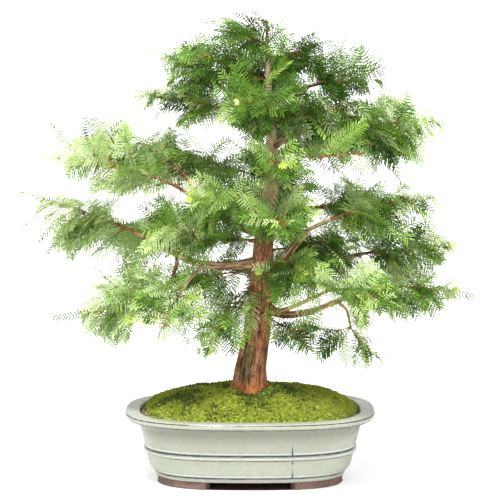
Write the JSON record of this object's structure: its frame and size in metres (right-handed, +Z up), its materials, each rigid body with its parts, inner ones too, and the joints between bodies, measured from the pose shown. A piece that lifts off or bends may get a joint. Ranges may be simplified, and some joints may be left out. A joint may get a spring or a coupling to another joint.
{
  "type": "dawn redwood bonsai",
  "caption": "Dawn redwood grown as a bonsai: leaning tapered trunk, spreading boughs and feathery sprays of flat needles over moss in a glazed oval pot on low feet.",
  "frame": {"origin": "centre of the pot's footprint, on the surface that its feet stand on", "axes": "+Z up along the tree's height, +X along the pot's length towards the right when it is seen from its front, +Y from its front to its back"},
  "size_m": [0.654, 0.396, 0.6732],
  "materials": {
    "glaze": "pale grey-green glaze, glossy, pooling darker in the creases, with unglazed clay feet",
    "soil": "dull brown soil of fine grit",
    "moss": "matte green moss",
    "bark": "fibrous red-brown bark",
    "needles": "soft green needles, paler at the tips"
  },
  "bodies": {
    "root": {"bough_left_droop": "bark", "bough_left_high": "bark", "bough_left_high_up": "bark", "bough_left_low": "bark", "bough_left_low_back": "bark", "bough_left_low_front": "bark", "bough_left_top": "bark", "bough_left_top_back": "bark", "bough_right_hang": "bark", "bough_right_high": "bark", "bough_right_low": "bark", "bough_right_low_front": "bark", "bough_right_mid": "bark", "bough_right_mid_back": "bark", "bough_right_mid_front": "bark", "bough_right_out": "bark", "bough_right_top": "bark", "foliage_back_high": "needles", "foliage_back_low": "needles", "foliage_back_mid": "needles", "foliage_back_top": "needles", "foliage_front_high": "needles", "foliage_front_mid": "needles", "foliage_front_top": "needles", "foliage_left_back": "needles", "foliage_left_crown": "needles", "foliage_left_droop": "needles", "foliage_left_high": "needles", "foliage_left_high_back": "needles", "foliage_left_high_inner": "needles", "foliage_left_high_up": "needles", "foliage_left_inner": "needles", "foliage_left_low": "needles", "foliage_left_low_back": "needles", "foliage_left_low_front": "needles", "foliage_left_mid": "needles", "foliage_left_near": "needles", "foliage_left_top": "needles", "foliage_left_top_back": "needles", "foliage_right_hang": "needles", "foliage_right_high": "needles", "foliage_right_high_back": "needles", "foliage_right_high_front": "needles", "foliage_right_inner": "needles", "foliage_right_inner_back": "needles", "foliage_right_low": "needles", "foliage_right_low_front": "needles", "foliage_right_mid": "needles", "foliage_right_mid_back": "needles", "foliage_right_mid_front": "needles", "foliage_right_near": "needles", "foliage_right_out": "needles", "foliage_right_top": "needles", "foliage_right_upper": "needles", "foliage_top": "needles", "foliage_top_right": "needles", "moss": "moss", "pot": "glaze", "soil": "soil", "trunk": "bark"}
  },
  "joints": []
}
